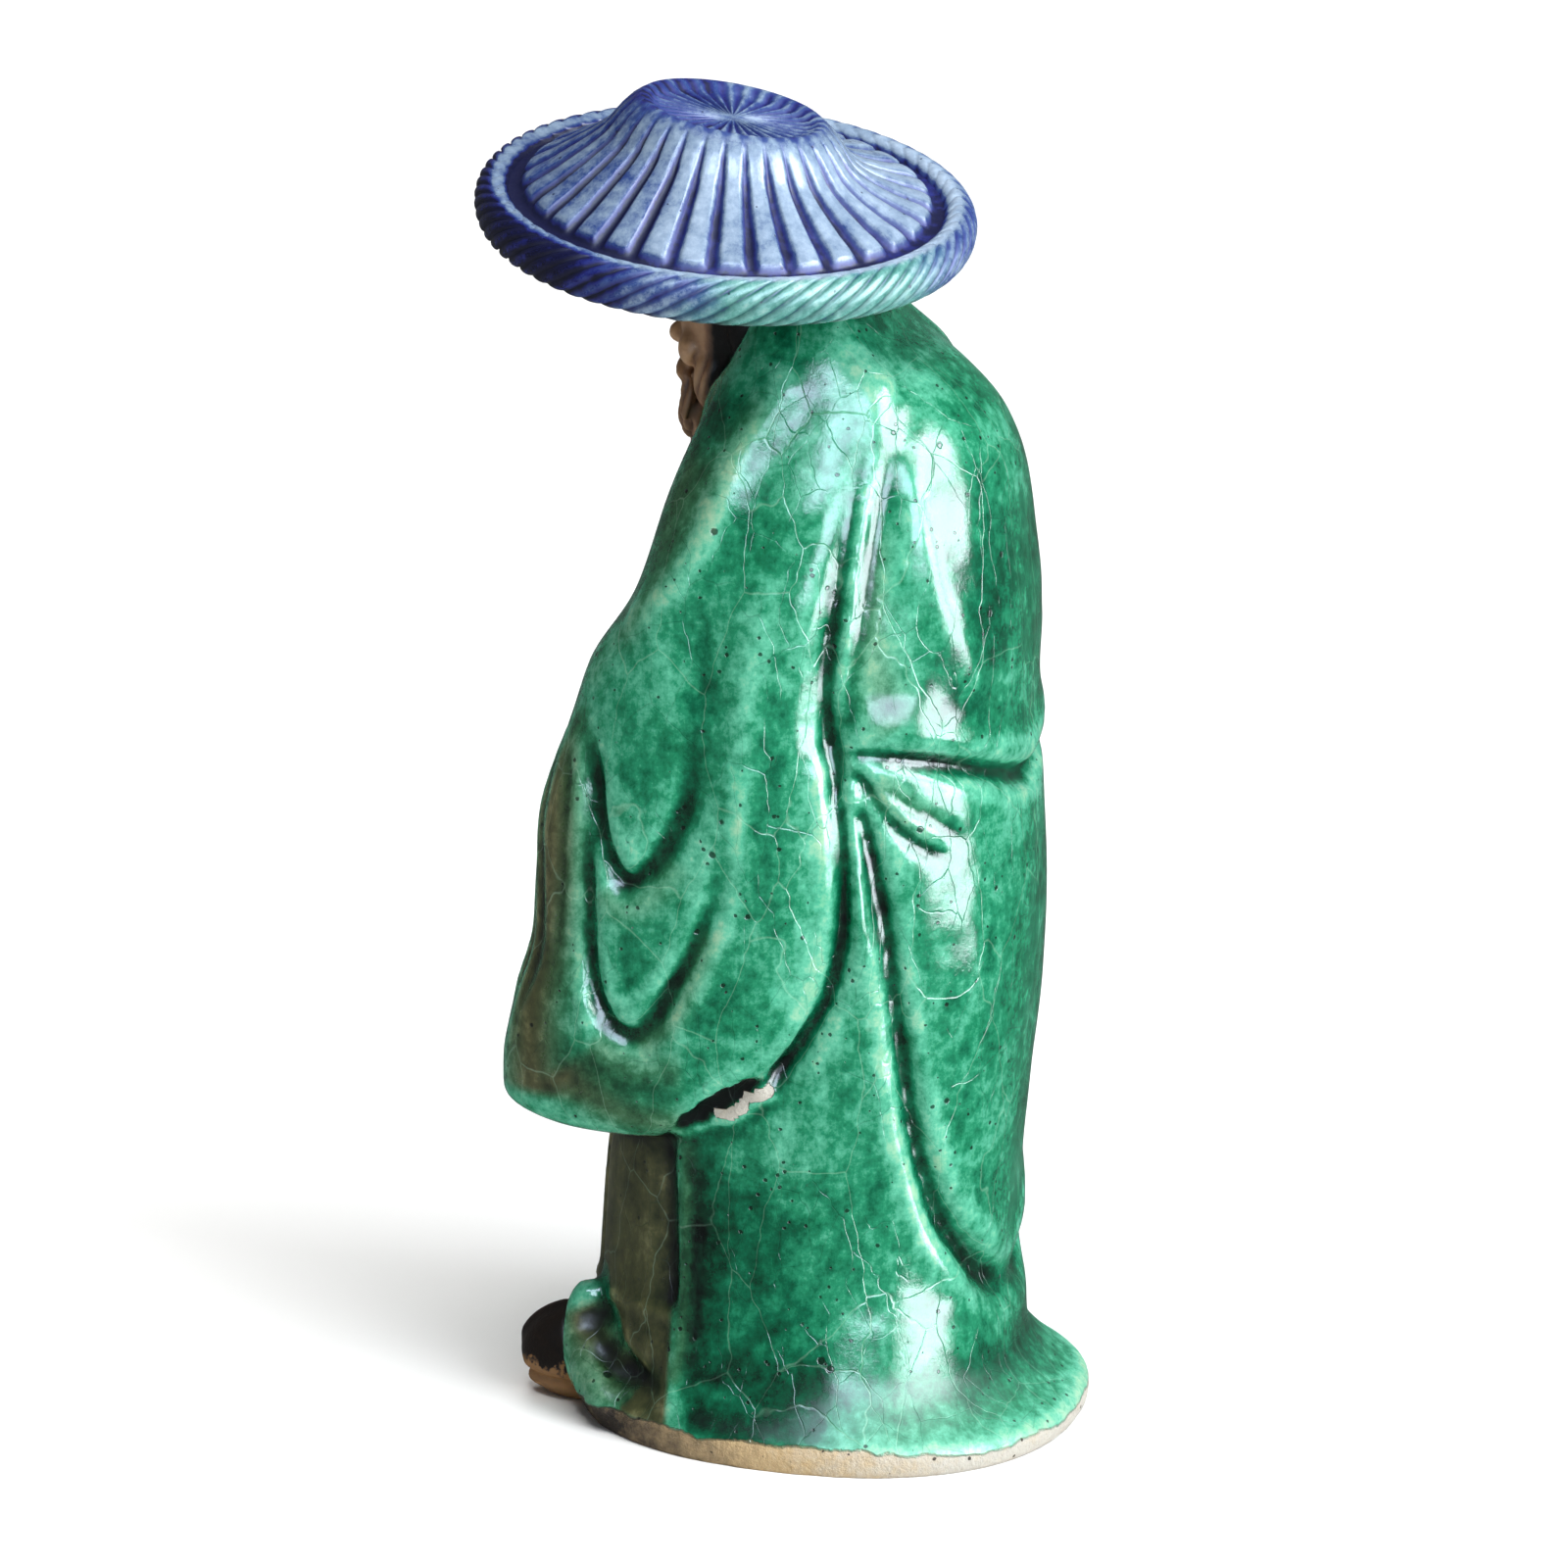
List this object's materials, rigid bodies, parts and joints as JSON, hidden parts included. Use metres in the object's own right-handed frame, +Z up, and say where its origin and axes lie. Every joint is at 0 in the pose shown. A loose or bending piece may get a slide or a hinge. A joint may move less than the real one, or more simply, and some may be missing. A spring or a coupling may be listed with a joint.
{
  "type": "mudman figurine",
  "caption": "Small glazed mudman figurine: a stooped bearded man in a green robe with long sleeves and a blue ribbed hat with a rope edge, standing on a flat unglazed foot.",
  "frame": {"origin": "on the flat underside, at the middle of the robe", "axes": "+Z up, -Y the way the figure faces, +X its left"},
  "size_m": [0.0406, 0.052, 0.1078],
  "materials": {
    "green_glaze": "glossy crackled glaze",
    "blue_glaze": "glossy glaze, thin on the ribs",
    "bare_clay": "unglazed fired clay",
    "brown_stain": "thin dark glaze"
  },
  "bodies": {
    "root": {"figurine": "green_glaze"}
  },
  "joints": []
}
